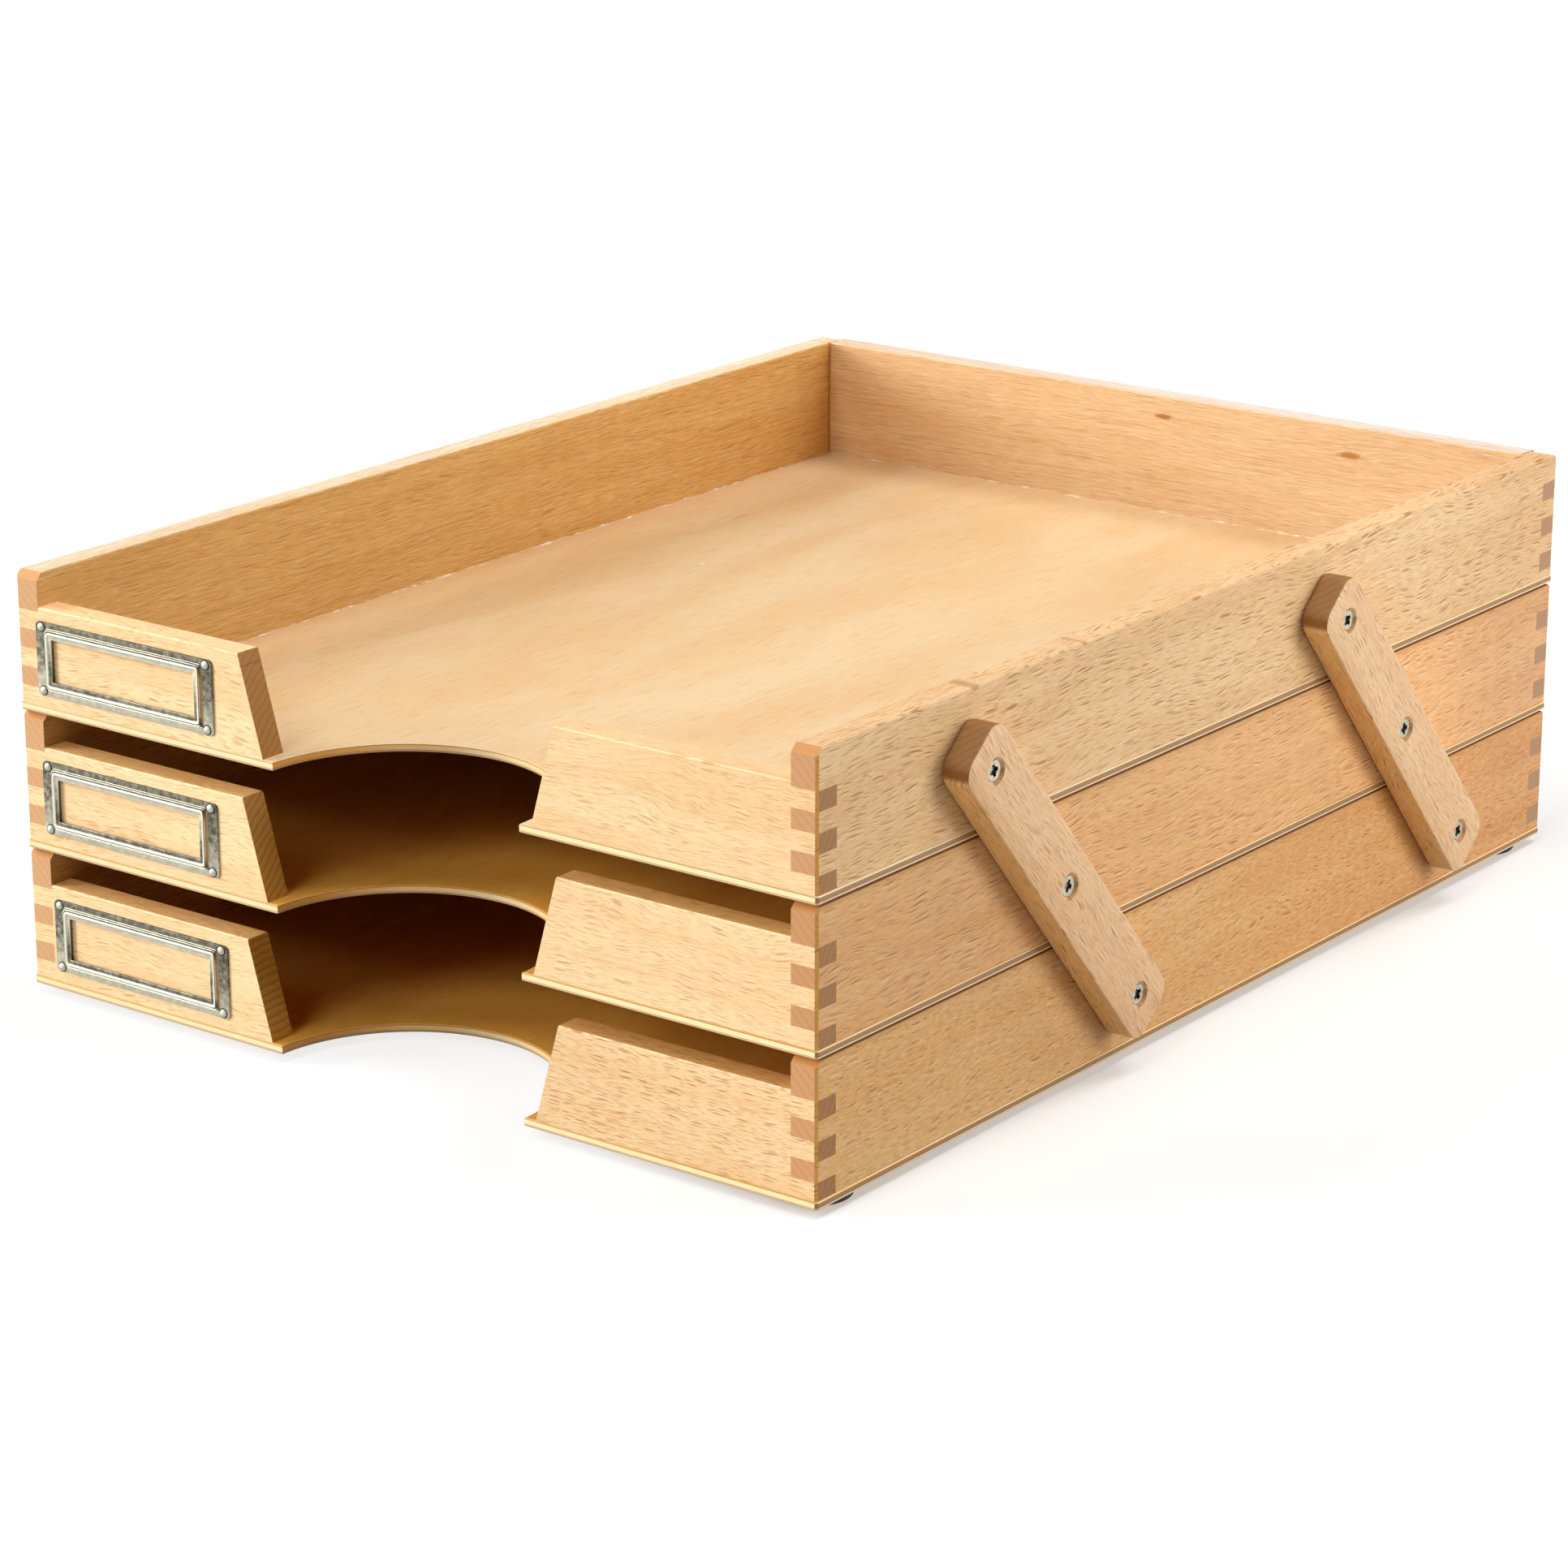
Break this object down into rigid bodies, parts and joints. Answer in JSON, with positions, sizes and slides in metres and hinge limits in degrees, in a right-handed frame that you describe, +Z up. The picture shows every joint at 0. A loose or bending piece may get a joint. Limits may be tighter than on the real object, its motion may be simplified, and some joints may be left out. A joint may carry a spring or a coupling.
{
  "type": "letter tray stack",
  "caption": "Stacked wooden letter trays with scooped fronts and label frames, joined at the sides by link bars that let the trays swing up and back into steps.",
  "frame": {"origin": "centre of the object's footprint, on the surface that the feet stand on", "axes": "+X to the right seen from the front, +Y from the open scooped front to the back board, +Z up"},
  "size_m": [0.2732, 0.3514, 0.1153],
  "materials": {
    "beech": "fine-grained beech boards, clear matt lacquer",
    "beech_bar": "beech bars, clear matt lacquer",
    "plywood": "three-ply, smooth, clear matt lacquer",
    "label_steel": "stamped tinned steel, slightly dull",
    "nail_steel": "nickel-plated, slightly dull",
    "screw_zinc": "bright zinc plate",
    "washer_steel": "plain steel, dull",
    "rubber": "matt black"
  },
  "bodies": {
    "bottom_tray": {"bottom_left_side": "beech", "bottom_right_side": "beech", "bottom_back": "beech", "bottom_front_left": "beech", "bottom_front_right": "beech", "bottom_floor_panel": "plywood", "bottom_label_frame": "label_steel", "bottom_label_nails": "nail_steel", "bottom_pivot_screws": "screw_zinc", "bottom_pivot_washers": "washer_steel", "foot_front_left": "rubber", "foot_front_right": "rubber", "foot_rear_left": "rubber", "foot_rear_right": "rubber"},
    "middle_tray": {"middle_left_side": "beech", "middle_right_side": "beech", "middle_back": "beech", "middle_front_left": "beech", "middle_front_right": "beech", "middle_floor_panel": "plywood", "middle_label_frame": "label_steel", "middle_label_nails": "nail_steel", "middle_pivot_screws": "screw_zinc", "middle_pivot_washers": "washer_steel"},
    "top_tray": {"top_left_side": "beech", "top_right_side": "beech", "top_back": "beech", "top_front_left": "beech", "top_front_right": "beech", "top_floor_panel": "plywood", "top_label_frame": "label_steel", "top_label_nails": "nail_steel", "top_pivot_screws": "screw_zinc", "top_pivot_washers": "washer_steel"},
    "link_right_front": {"link_right_front": "beech_bar"},
    "link_right_rear": {"link_right_rear": "beech_bar"},
    "link_left_front": {"link_left_front": "beech_bar"},
    "link_left_rear": {"link_left_rear": "beech_bar"}
  },
  "joints": [
    {"name": "front_right_link_swing", "type": "hinge", "parent": "bottom_tray", "child": "link_right_front", "pos_m": [0, -0.0492, 0.021], "axis": [-1, 0, 0], "range_deg": [0, 81.7]},
    {"name": "rear_right_link_swing", "type": "hinge", "parent": "bottom_tray", "child": "link_right_rear", "pos_m": [0, 0.1138, 0.021], "axis": [-1, 0, 0], "range_deg": [0, 81.7]},
    {"name": "front_left_link_swing", "type": "hinge", "parent": "bottom_tray", "child": "link_left_front", "pos_m": [0, -0.0492, 0.021], "axis": [-1, 0, 0], "range_deg": [0, 81.7]},
    {"name": "rear_left_link_swing", "type": "hinge", "parent": "bottom_tray", "child": "link_left_rear", "pos_m": [0, 0.1138, 0.021], "axis": [-1, 0, 0], "range_deg": [0, 81.7]},
    {"name": "middle_tray_pivot", "type": "hinge", "parent": "link_right_front", "child": "middle_tray", "pos_m": [0, -0.0818, 0.0587], "axis": [-1, 0, 0], "range_deg": [-81.7, 0]},
    {"name": "top_tray_pivot", "type": "hinge", "parent": "link_right_front", "child": "top_tray", "pos_m": [0, -0.1144, 0.0964], "axis": [-1, 0, 0], "range_deg": [-81.7, 0]}
  ],
  "couplings": [
    {"joint": "rear_right_link_swing", "follows": "front_right_link_swing", "ratio": 1},
    {"joint": "front_left_link_swing", "follows": "front_right_link_swing", "ratio": 1},
    {"joint": "rear_left_link_swing", "follows": "front_right_link_swing", "ratio": 1},
    {"joint": "middle_tray_pivot", "follows": "front_right_link_swing", "ratio": -1},
    {"joint": "top_tray_pivot", "follows": "front_right_link_swing", "ratio": -1}
  ]
}
